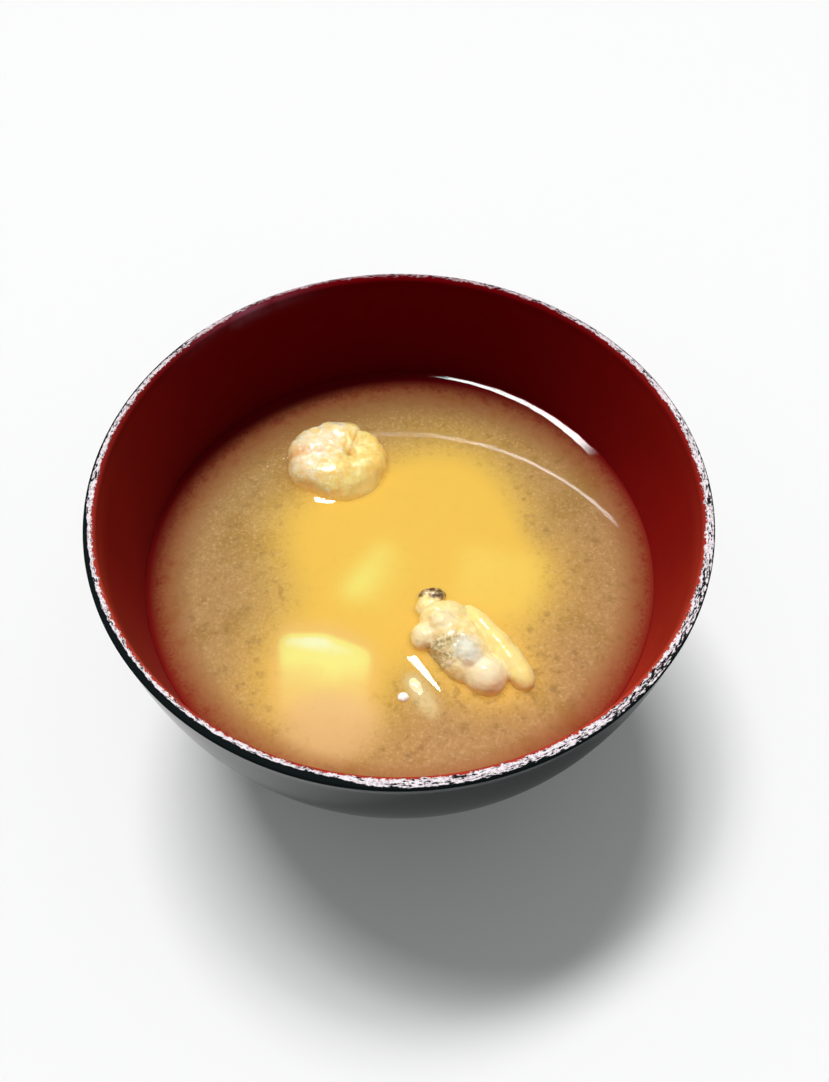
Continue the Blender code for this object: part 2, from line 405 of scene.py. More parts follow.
def make_bowl():
    """The turned bowl. 'across' is the distance over the lip: below 0 outside, above 0 inside."""
    profile = bowl_profile()
    piece = turned(profile, "lacquer_bowl")
    path = np.array(profile)
    run = np.concatenate([[0], np.cumsum(np.linalg.norm(np.diff(path, axis=0), axis=1))])
    top = np.argmax(path[:, 1] - 1e-3 * np.abs(path[:, 0] - (RIM_RADIUS - 1.0 * MM)))
    places = points_of(piece)
    radius = np.hypot(places[:, 0], places[:, 1])
    nearest = np.argmin(
        (radius[:, None] - path[None, :, 0]) ** 2 + (places[:, 2][:, None] - path[None, :, 1]) ** 2,
        axis=1,
    )
    across = run[nearest] - run[top]
    below = RIM_HEIGHT - places[:, 2]
    inset = RIM_RADIUS - radius
    over = np.where(across < 0, inset - 3 * np.maximum(below - 0.8 * MM, 0), inset + np.maximum(below - MM, 0))
    over = np.clip(over, -60 * MM, 60 * MM)
    round_angle = np.degrees(np.arctan2(places[:, 1], places[:, 0])) % 360.0
    black_edge = 0.10 + 0.22 * span(round_angle, 290, 385, 14) + 0.26 * span(round_angle, 25, 58, 12)
    black_edge += 0.42 * span(round_angle, 138, 264, 8) + 0.42 * span(round_angle, 186, 264, 6)
    black_edge += 0.22 * span(round_angle, 210, 260, 8) + 0.30 * span(round_angle, 264, 292, 8)
    red_edge = 1.36 + 0.42 * hump(round_angle, 235, 55) + 0.34 * hump(round_angle, 335, 45)
    red_edge -= 0.36 * hump(round_angle, 85, 34)
    red_edge -= 0.3 * hump(round_angle, 120, 18)
    flecks = 0.15 + 0.55 * hump(round_angle, 320, 45) + 0.35 * hump(round_angle, 85, 45)
    # painted light and shade: 0 at the back, 1 at the front, for the red inner wall painted darker at the back, where
    # shade falls, and lighter at the front, where light falls
    turned_away = 0.5 - 0.5 * np.cos(np.radians(round_angle - 96.0))
    mark(piece, "over", over)
    mark(piece, "black_edge", black_edge)
    mark(piece, "red_edge", red_edge)
    mark(piece, "flecks", flecks)
    mark(piece, "turned_away", turned_away)
    mark(piece, "back_wear", hump(round_angle, 95, 42))
    mark(piece, "dull", hump(round_angle, 302, 22))
    # painted light: the left and lower left of the inner wall, where light falls, are painted lighter and browner
    mark(piece, "left_side", 0.15 * hump(round_angle, 180, 32) + 0.6 * hump(round_angle, 222, 20))
    # painted light: where the lit vermilion band just under the rim is painted, on the front left and front right of
    # the inner wall
    mark(piece, "under", 0.9 * hump(round_angle, 212, 26) + 0.75 * hump(round_angle, 320, 34))
    mark(piece, "purple_rub", hump(round_angle, 126, 11) * np.exp(-(((over - 2.4 * MM) / (1.5 * MM)) ** 2)))
    dents = rumple(places, 9 * MM, 0.10 * MM, 3.0) + rumple(places, 2.5 * MM, 0.06 * MM, 8.0)
    rubbed = np.clip(1 - np.abs(over - 0.8 * MM) / (1.2 * MM), 0, 1)
    places[:, 2] += np.minimum(dents, 0) * rubbed
    move_points(piece, places)
    return piece


def lacquer():
    """Black outside, red inside, and bare white resin where the rim is rubbed and chipped."""
    f = Finish("worn_lacquer")
    over = f.marked("over")
    over_mm = over * 1000.0
    front = f.axis("y") * -1000.0
    flecks = f.marked("flecks")
    back_wear = f.marked("back_wear")

    along = f.node("CombineXYZ", (), {0: f.axis("x") * 0.28, 1: f.axis("y") * 0.28, 2: over})
    dashes = f.node("TexNoise", (), {"Vector": along, "Scale": 3700.0, "Detail": 3.0, "Roughness": 0.6})
    long_dashes = f.node("TexNoise", (), {"Vector": along, "Scale": 700.0, "Detail": 2.0})
    ragged = f.grain(2.4 * MM, 3, 0.65) - 0.5
    fine = f.grain(0.8 * MM, 3, 0.7) - 0.5
    black_edge = f.marked("black_edge") + ragged * 0.35 + (dashes - 0.5) * 0.7
    red_edge = f.marked("red_edge") + ragged * (0.9 + back_wear) + fine * 1.3 + (dashes - 0.5) * 1.2
    outside = f.step(over_mm, black_edge + 0.05, black_edge - 0.05)
    inside = f.step(over_mm, red_edge - 0.06 - back_wear * 0.3, red_edge + 0.06 + back_wear * 0.15)

    away = f.marked("turned_away")
    mottle = f.grain(14 * MM, 3, 0.6)
    # painted shade and light: the red is painted dark at the back of the bowl, where the wall is in shade, and
    # lighter towards the front, where light falls on it
    red = f.blend(f.step(away, 0.0, 0.55), (0.125, 0.0012, 0.0028, 1), (0.27, 0.010, 0.008, 1))
    red = f.blend(f.step(away, 0.5, 1.0), red, (0.46, 0.045, 0.022, 1))
    red = f.blend(f.step(mottle, 0.35, 0.7) * 0.25, red, f.blend(0.5, red, (0.09, 0.001, 0.002, 1)))
    # painted light: lighter, browner red on the left and lower left of the inner wall, where light falls
    red = f.blend(f.marked("left_side"), red, (0.30, 0.050, 0.036, 1))
    red = f.blend(f.step(over_mm, 4.5, 1.8) * 0.4, red, f.blend(0.5, red, (0.06, 0.0, 0.002, 1)))
    # painted light: a lighter vermilion band just under the rim, where the lamp's light falls on the inner wall
    lit_band_under_rim = f.step(over_mm, 9.0, 2.5)
    red = f.blend(lit_band_under_rim * f.marked("under"), red, (0.46, 0.052, 0.030, 1))
    red = f.blend(f.marked("purple_rub") * f.step(mottle, 0.3, 0.6) * 0.3, red, (0.36, 0.16, 0.24, 1))
    resin = f.blend(f.step(fine, -0.2, 0.05), (0.42, 0.35, 0.38, 1), (0.80, 0.73, 0.76, 1))
    resin = f.blend(back_wear * 0.8, resin, (0.36, 0.20, 0.22, 1))
    outer_part = f.step(over_mm, 1.6, 0.6) - 0.35
    fleck = f.step(dashes + flecks * (0.12 + outer_part * 0.12) + (long_dashes - 0.5) * 0.45, 0.58, 0.64)
    fleck_tone = f.blend(back_wear, (0.012, 0.010, 0.012, 1), (0.06, 0.006, 0.014, 1))
    resin = f.blend(fleck, resin, fleck_tone)
    # black lacquer; its faint teal tint is painted reflection of the pale floor
    black = (0.006, 0.0085, 0.009, 1)
    side = f.axis("x") * 1000.0
    crack = f.step(f.cells(11 * MM, "DISTANCE_TO_EDGE"), 0.012, 0.004)
    crack = crack * f.step(front, 10.0, 35.0) * f.step(side, 0.0, -30.0) * f.step(over_mm, -2.0, -4.0)
    # painted reflection: a lighter grey-green band on the outer side just under the lip at the front
    grey_reflection_band = f.step(over_mm, -0.2, -1.2) * f.step(over_mm, -6.0, -3.5) * f.step(front, 46.0, 55.0)
    black = f.blend(grey_reflection_band * 0.35, black, (0.20, 0.215, 0.215, 1))

    colour = f.blend(inside, resin, red)
    colour = f.blend(outside, colour, black)
    worn = (1 - inside) * (1 - outside)
    smudge = f.grain(9 * MM, 3, 0.6)
    rough = f.step(smudge, 0.3, 0.75, 0.12, 0.2) * (1 - worn) + worn * 0.45
    relief = f.bump(fine * worn - worn * 0.6 - crack * 0.3, 0.08 * MM, 0.8)
    shader = f.node(
        "BsdfPrincipled",
        (),
        {
            "Base Color": colour,
            "Roughness": rough,
            "Normal": relief,
            "Specular IOR Level": 0.0,
            "Coat Weight": f.step(over_mm, -0.2, -1.5) * (0.76 - f.marked("dull") * 0.32),
            "Coat Roughness": 0.05,
            "Coat IOR": 1.5,
        },
    )
    return f.done(shader)


# ---------------------------------------------------------------- shrimp


def low_side(places):
    """1 where a piece's side meets the soup, 0 from a little above it."""
    return 1 - eased(places[:, 2], LEVEL - 0.2 * MM, LEVEL + 2.2 * MM)


def make_shrimp():
    """A cooked tail curled until its ends meet, from a ring shaped segment by segment."""
    low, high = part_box("shrimp")
    centre = Vector((-11.0 * MM, 23.8 * MM, LEVEL + 0.3 * MM))
    clear_selection()
    bpy.ops.mesh.primitive_torus_add(
        location=centre,
        major_segments=168,
        minor_segments=56,
        major_radius=6.6 * MM,
        minor_radius=4.0 * MM,
    )
    piece = named("curled_shrimp")
    bpy.ops.object.transform_apply(location=True, rotation=True, scale=True)
    places = points_of(piece)
    local = places - np.array(centre)
    angle = np.arctan2(local[:, 1], local[:, 0])
    ring = np.hypot(local[:, 0], local[:, 1]) - 6.6 * MM
    lift = local[:, 2]
    turn = np.arctan2(lift, ring)
    notch = math.radians(72)
    along = ((angle - notch) / (2 * math.pi)) % 1.0
    swing = -np.cos(angle)
    wide = (4.8 + 1.15 * swing) * MM * (1 - 0.08 * along**3)
    tall = (4.0 + 0.5 * swing) * MM * (1 - 0.08 * along**3)
    from_end = np.minimum(along, 1 - along) * 2 * math.pi * 6.6
    full = np.sqrt(1 - (1 - np.clip(from_end / 0.9, 0.0, 1)) ** 2)
    full = 0.85 + 0.15 * full
    segment = np.abs(np.sin(np.pi * 5.5 * along + 0.4))
    groove = 1 - 0.05 * np.exp(-((segment / 0.22) ** 2)) * np.clip(np.cos(turn - 0.35), 0, 1)
    fold = np.exp(-(((along - 0.30) / 0.022) ** 2))
    groove -= 0.12 * fold * np.clip(np.cos(turn - 0.5), 0, 1)
    shape = full * groove
    reach = 0.3 * MM + wide * 1.14
    # the curl is closed: its middle is only a dimple
    section = wide * shape * 1.14 * np.cos(turn)
    middle_fill = 0.52 * np.clip(-np.cos(turn), 0, 1) ** 2
    rise = tall * shape * (np.sin(turn) * (1 + 0.10 * np.cos(turn)) + middle_fill)
    dip = eased(local[:, 0] * 0.3 - local[:, 1] * 0.95, 4.0 * MM, 11 * MM)
    rise = rise * (1 - 0.25 * dip) - 1.1 * MM * dip
    radius = np.maximum(reach + section, 0.25 * MM) * (
        1 - 0.13 * np.clip(np.sin(angle), 0, 1) ** 2 - 0.07 * np.clip(np.sin(angle), -1, 0) ** 2
    )
    radius *= 1 - 0.11 * hump(np.degrees(angle), -130, 22)
    places[:, 0] = centre.x + radius * np.cos(angle)
    places[:, 1] = centre.y + radius * np.sin(angle)
    places[:, 2] = centre.z + rise
    move_points(piece, places)
    normal = normals_of(piece)
    lumps = rumple(places, 3.2 * MM, 0.30 * MM, 5.0, 3) + rumple(places, 1.0 * MM, 0.09 * MM, 9.0, 2)
    places = places + normal * lumps[:, None]
    places = np.clip(places, np.array(low) - 0.4 * MM, np.array(high) + 0.4 * MM)
    move_points(piece, places)
    mark(piece, "along", along)
    mark(piece, "rounding", np.cos(turn))
    mark(piece, "crease", fold)
    mark(piece, "foot_of_side", low_side(places))
    bpy.ops.object.shade_smooth()
    return piece


def shrimp_flesh():
    """Opaque white flesh, cream in the middle, coral and amber on the far side of the curl."""
    f = Finish("boiled_shrimp")
    side = f.axis("x") * 1000.0 + 11.0
    back = f.axis("y") * 1000.0 - 23.8
    rounding = f.marked("rounding")
    cloudy = f.grain(2.4 * MM, 4, 0.6)
    fibres = f.grain(0.7 * MM, 3, 0.65)
    drift = (cloudy - 0.5) * 6.0
    white = f.blend(f.step(cloudy, 0.4, 0.66), tone(247, 227, 188), tone(249, 213, 142))
    cream = f.blend(f.step(cloudy, 0.4, 0.66), tone(254, 226, 146), tone(250, 206, 114))
    amber = f.blend(f.step(fibres, 0.4, 0.65), tone(255, 214, 122), tone(252, 196, 100))
    colour = f.blend(f.step(side - back * 0.5 + drift, -6.5, 1.0), white, cream)
    colour = f.blend(f.step(side - back * 0.1 + drift * 0.7, 1.5, 7.0) * 0.9, colour, amber)
    colour = f.blend(f.step(rounding, 0.55, 1.0) * 0.35, colour, tone(252, 214, 140))
    # painted light: the flank is painted lighter where it meets the soup, for light coming up through the soup
    colour = f.blend(f.marked("foot_of_side") * f.step(side, -9.0, 2.0), colour, tone(255, 224, 140))
    rust = f.step(f.grain(1.7 * MM, 3, 0.6), 0.58, 0.72) * f.step(back, 2.0, 8.0) * f.step(side, -1.0, 3.0)
    colour = f.blend(rust * 0.6, colour, tone(236, 158, 96))
    colour = f.blend(f.marked("crease") * f.step(side, -4.0, -8.0) * 0.7, colour, tone(236, 176, 110))
    # painted highlight: near-white specks on the left of the shrimp stand for glints on its wet flesh
    pearl = f.step(f.grain(1.1 * MM, 2, 0.5), 0.58, 0.68) * f.step(side, 3.0, -3.0)
    colour = f.blend(pearl * 0.5, colour, tone(255, 255, 246))
    # light that comes up through the soup into the flesh
    lit = f.math("MAXIMUM", f.marked("foot_of_side"), f.step(side, 2.0, 9.0) * 0.45)
    through = f.blend(lit, (0.0, 0.0, 0.0, 1), (0.26, 0.125, 0.028, 1))
    rough = f.step(fibres, 0.3, 0.7, 0.12, 0.3)
    relief = f.bump(fibres + f.grain(0.35 * MM, 2) * 0.5, 0.20 * MM, 0.55)
    shader = f.node(
        "BsdfPrincipled",
        {"subsurface_method": "RANDOM_WALK"},
        {
            "Base Color": colour,
            "Roughness": rough,
            "Normal": relief,
            "Emission Color": through,
            "Emission Strength": 1.0,
            "Subsurface Weight": 0.85,
            "Subsurface Radius": (1.0, 0.8, 0.5),
            "Subsurface Scale": 0.0045,
            "Coat Weight": 0.7,
            "Coat Roughness": 0.08,
            "Coat IOR": 1.4,
        },
    )
    return f.done(shader)


# ---------------------------------------------------------------- clam


def add_lobe(centre, radii, yaw=0.0, pitch=0.0):
    """One rounded lobe; sizes in millimetres, heights above the soup's level."""
    clear_selection()
    bpy.ops.mesh.primitive_ico_sphere_add(
        subdivisions=5,
        radius=MM,
        location=(centre[0] * MM, centre[1] * MM, LEVEL + centre[2] * MM),
        rotation=(0, math.radians(pitch), math.radians(yaw)),
        scale=radii,
    )
    bpy.ops.object.transform_apply(location=True, rotation=True, scale=True)
    return bpy.context.object


def grown_together(lobes, name, voxel, smooth=6):
    """Joins lobes and grows one skin over them."""
    clear_selection()
    for lobe in lobes:
        lobe.select_set(True)
    bpy.context.view_layer.objects.active = lobes[0]
    bpy.ops.object.join()
    piece = named(name)
    skin = piece.modifiers.new("Skin", "REMESH")
    skin.mode = "VOXEL"
    skin.voxel_size = voxel
    ease = piece.modifiers.new("Ease", "SMOOTH")
    ease.factor = 0.6
    ease.iterations = smooth
    apply_modifiers(piece)
    bpy.ops.object.shade_smooth()
    return piece


def near(places, centre, radii, yaw=0.0, soft=0.35):
    """1 inside a lobe's shape, fading to 0 just outside it."""
    local = (places - np.array([centre[0] * MM, centre[1] * MM, LEVEL + centre[2] * MM])) / MM
    cos, sin = math.cos(math.radians(yaw)), math.sin(math.radians(yaw))
    turned_x = local[:, 0] * cos + local[:, 1] * sin
    turned_y = -local[:, 0] * sin + local[:, 1] * cos
    spread = np.sqrt(
        (turned_x / radii[0]) ** 2 + (turned_y / radii[1]) ** 2 + (local[:, 2] / radii[2]) ** 2
    )
    return np.clip((1 + soft - spread) / (2 * soft), 0, 1)


def make_clam():
    lobes = [
        add_lobe((10.7, -21.1, 0.2), (9.2, 5.7, 4.7), yaw=-57),
        add_lobe((8.4, -15.4, 1.1), (4.9, 3.5, 3.0), yaw=12),
        add_lobe((4.6, -19.5, 0.9), (2.9, 3.0, 2.7)),
        add_lobe((8.1, -17.6, 2.8), (2.7, 2.6, 2.3)),
        add_lobe((12.5, -23.9, 2.9), (3.5, 2.9, 2.5), yaw=-57),
        add_lobe((15.9, -27.7, 0.8), (4.4, 4.0, 3.7), yaw=-40),
        add_lobe((16.3, -17.9, 0.6), (6.6, 2.3, 2.5), yaw=-53),
        add_lobe((18.6, -21.2, 0.5), (6.4, 2.7, 2.8), yaw=-54),
        add_lobe((20.6, -24.3, 0.5), (6.0, 2.8, 2.8), yaw=-57),
        add_lobe((22.1, -26.7, 0.4), (4.4, 2.6, 2.6), yaw=-62),
        add_lobe((5.5, -12.4, 0.5), (2.9, 2.1, 1.9), yaw=35),
        add_lobe((6.3, -10.4, 0.8), (2.8, 1.7, 1.6)),
    ]
    piece = grown_together(lobes, "shelled_clam", 0.22 * MM)
    places = points_of(piece)
    gut = near(places, (8.4, -23.6, 2.4), (3.0, 5.0, 4.0), yaw=-150 + 90, soft=0.4)
    siphon = np.maximum(
        near(places, (7.3, -9.8, 1.8), (2.1, 1.9, 2.6), soft=0.45),
        near(places, (4.2, -9.9, 1.4), (1.3, 1.1, 2.4), soft=0.4),
    )
    foot = np.maximum(
        near(places, (17.2, -19.2, 1.5), (7.8, 2.5, 4.0), yaw=-53.5, soft=0.25),
        near(places, (21.4, -25.6, 1.5), (5.8, 2.7, 4.0), yaw=-60, soft=0.25),
    )
    bump = near(places, (12.6, -24.1, 4.2), (3.0, 2.5, 2.6), yaw=-57)
    lower = near(places, (16.0, -28.1, 2.0), (3.9, 3.6, 4.0), soft=0.3)
    blobs = np.maximum(
        near(places, (8.2, -17.6, 4.0), (2.5, 2.4, 2.4)),
        near(places, (4.4, -19.9, 2.4), (2.4, 2.7, 2.6)),
    )
    normal = normals_of(piece)
    folds = rumple(places, 2.6 * MM, 0.22 * MM, 2.0, 3) * (1 - 0.7 * np.maximum(foot, lower))
    creases = -np.abs(rumple(places * np.array([1.0, 1.6, 1.0]), 2.2 * MM, 1.0, 12.0, 1))
    shift = folds + creases * (0.4 * MM * gut + 0.05 * MM * (1 - foot)) - 0.5 * MM * gut
    places = places + normal * shift[:, None]
    low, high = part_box("clam")
    places = np.clip(places, np.array(low) - 0.3 * MM, np.array(high) + 0.3 * MM)
    move_points(piece, places)
    for name, values in (
        ("gut", gut),
        ("siphon", siphon),
        ("foot", foot),
        ("pearl", bump),
        ("lower", lower),
        ("blob", blobs),
        ("foot_of_side", low_side(places)),
    ):
        mark(piece, name, values)
    return piece


def clam_flesh():
    """Cream flesh: yellow foot, grey-green gut under wrinkled skin, pearly lumps, dark siphon tips."""
    f = Finish("boiled_clam")
    cloudy = f.grain(2.0 * MM, 3, 0.6)
    fine = f.grain(0.5 * MM, 3, 0.65)
    gut_part = f.marked("gut")
    colour = f.blend(f.step(cloudy, 0.35, 0.7), tone(255, 236, 176), tone(246, 212, 136))
    colour = f.blend(f.marked("foot"), colour, f.blend(cloudy, tone(250, 232, 160), tone(244, 216, 130)))
    colour = f.blend(f.marked("lower"), colour, f.blend(cloudy, tone(255, 244, 210), tone(252, 224, 176)))
    colour = f.blend(f.marked("blob"), colour, f.blend(cloudy, tone(252, 240, 200), tone(244, 220, 164)))
    # painted light: the flesh is painted lighter where its side meets the soup, for light coming up through the soup
    colour = f.blend(f.marked("foot_of_side") * 0.6, colour, tone(255, 226, 150))
    threads = f.grain(2.2 * MM, 2, 0.5, 1.6, (1.0, 1.8, 1.0))
    gut = f.blend(f.step(threads, 0.34, 0.62), tone(142, 130, 84), tone(216, 198, 146))
    # painted highlight: thin near-white lines along the gut's wrinkles stand for glints on its wet skin; the same
    # lines also raise the relief
    curls = f.grain(3.0 * MM, 1, 0.4, 1.4)
    glint_lines = f.step(curls, 0.44, 0.49) * f.step(curls, 0.55, 0.50)
    gut = f.blend(glint_lines * 0.6, gut, tone(252, 246, 214))
    colour = f.blend(f.step(gut_part + (cloudy - 0.5) * 0.7, 0.15, 0.75) * 0.85, colour, gut)
    colour = f.blend(f.marked("pearl") * 0.85, colour, f.blend(cloudy, tone(240, 244, 232), tone(206, 212, 196)))
    dark = f.blend(f.step(f.grain(0.9 * MM, 3), 0.40, 0.60), tone(92, 72, 48), tone(188, 160, 112))
    tip = f.step(f.marked("siphon") + (f.grain(1.0 * MM, 3, 0.6) - 0.5) * 1.5, 0.35, 0.6)
    colour = f.blend(tip, colour, dark)
    relief = f.bump(fine * (0.4 - f.marked("foot") * 0.3) + (threads * 0.5 + glint_lines * 0.4) * gut_part, 0.18 * MM, 0.5)
    shader = f.node(
        "BsdfPrincipled",
        {"subsurface_method": "RANDOM_WALK"},
        {
            "Base Color": colour,
            "Roughness": f.step(fine, 0.3, 0.7, 0.12, 0.28),
            "Normal": relief,
            "Subsurface Weight": 0.7,
            "Subsurface Radius": (1.0, 0.7, 0.4),
            "Subsurface Scale": 0.002,
            "Coat Weight": 0.8 - f.marked("foot") * 0.55,
            "Coat Roughness": 0.05,
            "Coat IOR": 1.4,
        },
    )
    return f.done(shader)


def make_strip():
    lobes = [
        add_lobe((4.1, -31.6, -1.75), (4.8, 1.8, 1.4), yaw=-60, pitch=9),
        add_lobe((2.6, -29.0, -1.4), (2.4, 1.7, 1.4), yaw=-65),
    ]
    piece = grown_together(lobes, "clam_mantle_strip", 0.2 * MM)
    places = points_of(piece)
    places += normals_of(piece) * rumple(places, 1.4 * MM, 0.12 * MM, 4.0, 2)[:, None]
    move_points(piece, places)
    return piece


def make_crumb():
    """A small scrap afloat in front of the strip, painted near-white where it stands for a glint."""
    piece = grown_together([add_lobe((0.4, -31.6, -0.1), (1.1, 0.95, 0.7))], "glint_crumb", 0.08 * MM, 2)
    places = points_of(piece)
    places += normals_of(piece) * rumple(places, 0.8 * MM, 0.05 * MM, 6.0, 2)[:, None]
    move_points(piece, places)
    # painted highlight: marks the crumb to be painted near-white, standing for a glint
    mark(piece, "bleached", np.ones(len(places)))
    return piece


def mantle_flesh():
    f = Finish("clam_mantle")
    cloudy = f.grain(1.4 * MM, 3, 0.6)
    colour = f.blend(f.step(cloudy, 0.35, 0.7), tone(255, 248, 206), tone(254, 236, 168))
    # painted highlight: the crumb is painted near-white to stand for a glint
    colour = f.blend(f.marked("bleached"), colour, tone(255, 255, 248))
    shader = f.node(
        "BsdfPrincipled",
        (),
        {
            "Base Color": colour,
            "Roughness": f.step(cloudy, 0.3, 0.7, 0.14, 0.28),
            "Normal": f.bump(f.grain(0.4 * MM, 2), 0.1 * MM, 0.5),
            "Coat Weight": 0.6,
            "Coat Roughness": 0.05,
        },
    )
    return f.done(shader)


# ---------------------------------------------------------------- tofu


def make_tofu(name, size, corner_at, yaw, front_dip, side_dip, seed, broken=None):
    """A cut block with soft edges, its back left top corner at a place, tipped as it floats."""
    size = Vector(size) * MM
    clear_selection()
    bpy.ops.mesh.primitive_cube_add(
        size=1.0,
        location=(size.x / 2, -size.y / 2, -size.z / 2),
        scale=size,
    )
    piece = named(name)
    bpy.ops.object.transform_apply(location=True, rotation=True, scale=True)
    bpy.ops.object.mode_set(mode="EDIT")
    bpy.ops.mesh.select_all(action="SELECT")
    if broken:
        across = Vector((broken[1], broken[0], 0.0)).normalized()
        bpy.ops.mesh.bisect(
            plane_co=(size.x - broken[0] * MM, 0, 0),
            plane_no=across,
            use_fill=True,
            clear_outer=True,
        )
        bpy.ops.mesh.select_all(action="SELECT")
    bpy.ops.mesh.bevel(offset=1.1 * MM, segments=3)
    bpy.ops.object.mode_set(mode="OBJECT")
    turn = (
        Matrix.Rotation(math.radians(yaw), 4, "Z")
        @ Matrix.Rotation(math.radians(side_dip), 4, "Y")
        @ Matrix.Rotation(math.radians(front_dip), 4, "X")
    )
    place = Vector((corner_at[0] * MM, corner_at[1] * MM, LEVEL + corner_at[2] * MM))
    piece.matrix_world = Matrix.Translation(place) @ turn
    bpy.ops.object.transform_apply(location=True, rotation=True, scale=True)
    skin = piece.modifiers.new("Skin", "REMESH")
    skin.mode = "VOXEL"
    skin.voxel_size = 0.45 * MM
    ease = piece.modifiers.new("Ease", "SMOOTH")
    ease.factor = 0.6
    ease.iterations = 3
    apply_modifiers(piece)
    places = points_of(piece)
    bulge = rumple(places, 7 * MM, 0.45 * MM, seed, 2) + rumple(places, 1.6 * MM, 0.12 * MM, seed + 4, 3)
    places = places + normals_of(piece) * bulge[:, None]
    move_points(piece, places)
    bpy.ops.object.shade_smooth()
    return piece


def tofu_curd():
    f = Finish("silken_tofu")
    cloudy = f.grain(4 * MM, 3, 0.55)
    pores = f.step(f.cells(1.3 * MM), 0.16, 0.08)
    colour = f.blend(f.step(cloudy, 0.35, 0.7), tone(252, 238, 176), tone(250, 228, 152))
    colour = f.blend(pores * 0.25, colour, tone(226, 196, 120))
    shader = f.node(
        "BsdfPrincipled",
        {"subsurface_method": "RANDOM_WALK"},
        {
            "Base Color": colour,
            "Roughness": f.step(cloudy, 0.3, 0.7, 0.28, 0.42),
            "Normal": f.bump(f.grain(0.6 * MM, 3) - pores * 0.4, 0.12 * MM, 0.5),
            "Subsurface Weight": 0.3,
            "Subsurface Radius": (1.0, 0.7, 0.35),
            "Subsurface Scale": 0.002,
        },
    )
    return f.done(shader)


# ---------------------------------------------------------------- soup


def tree_of(piece):
    mesh = piece.data
    mesh.calc_loop_triangles()
    corners = [vert.co.copy() for vert in mesh.vertices]
    faces = [tuple(face.vertices) for face in mesh.loop_triangles]
    return BVHTree.FromPolygons(corners, faces)


def block_of(piece):
    return {"tree": tree_of(piece), "points": points_of(piece)}


def climb(radius):
    """How far the soup climbs towards the wall at a radius."""
    gap = inner_radius(LEVEL) - radius
    return 0.5 * WALL_CLIMB * math.erfc((gap - CLIMB_MIDDLE) / CLIMB_REACH)


def top_radii(edge, count=96):
    """Radii from the middle outwards, closer together near the edge."""
    return [edge * (1 - (1 - i / count) ** 1.25) for i in range(count + 1)]


def broth_profile():
    contact = inner_radius(LEVEL + WALL_CLIMB)
    points = [(radius, LEVEL + climb(radius)) for radius in top_radii(contact, 140)]
    rings = len(points)
    points.append((contact, LEVEL + WALL_CLIMB - 0.02 * MM))
    for lower in spaced(RIM_HEIGHT - LEVEL, FLOOR_START_DEPTH, 12):
        points.append(inner_point(lower, 0.1 * MM))
    for share in (0.86, 0.7, 0.5, 0.25, 0.0):
        points.append(floor_point(share, 0.1 * MM))
    return points, rings


def ring_of(places, profile):
    """Which point of the half section each point of a turned body came from."""
    path = np.array(profile)
    radius = np.hypot(places[:, 0], places[:, 1])
    return np.argmin(
        (radius[:, None] - path[None, :, 0]) ** 2 + (places[:, 2][:, None] - path[None, :, 1]) ** 2,
        axis=1,
    )


def refine(piece, trees, reach, profile, rings):
    """Cuts the top's faces smaller around the pieces that break it."""
    places = points_of(piece)
    top = ring_of(places, profile) < rings
    close = np.zeros(len(places), dtype=bool)
    for index in np.flatnonzero(top):
        spot = Vector((places[index][0], places[index][1], LEVEL))
        close[index] = any(tree.find_nearest(spot, reach)[0] is not None for tree in trees)
    clear_selection()
    piece.data.vertices.foreach_set("select", close)
    edges = np.empty(len(piece.data.edges) * 2, dtype=int)
    piece.data.edges.foreach_get("vertices", edges)
    edges = edges.reshape(-1, 2)
    piece.data.edges.foreach_set("select", close[edges[:, 0]] & close[edges[:, 1]])
    piece.data.polygons.foreach_set("select", [close[list(face.vertices)].all() for face in piece.data.polygons])
    edit(piece)
    bpy.ops.mesh.subdivide(number_cuts=2)
    bpy.ops.object.mode_set(mode="OBJECT")


def make_broth():
    """The clear broth: a closed body whose top climbs the wall."""
    profile, rings = broth_profile()
    piece = turned(profile, "clear_broth")
    places = points_of(piece)
    top = ring_of(places, profile) < rings
    # the broth's reflection is masked off round the spot where the gleam lamp's mirror image would fall, and near the
    # wall outside the back right crescent
    lamp_mirror_distance = np.hypot(places[:, 0] - LAMP_MIRROR_X, places[:, 1] - LAMP_MIRROR_Y)
    round_angle = np.degrees(np.arctan2(places[:, 1], places[:, 0]))
    by_wall = eased(np.hypot(places[:, 0], places[:, 1]), inner_radius(LEVEL) - 8 * MM, inner_radius(LEVEL) - 5 * MM)
    shine_off_by_wall = by_wall * (1 - span(round_angle, 34, 80, 10))
    mark(piece, "skin", top * eased(lamp_mirror_distance, LAMP_MIRROR_RADIUS, LAMP_MIRROR_RADIUS + 4 * MM) * (1 - shine_off_by_wall))
    return piece


def from_point(f, x, y):
    """Distance in millimetres from an upright line through a point."""
    apart = f.node("CombineXYZ", (), {0: f.axis("x") - x, 1: f.axis("y") - y, 2: 0.0})
    return f.node("VectorMath", {"operation": "LENGTH"}, {0: apart}, out="Value") * 1000.0


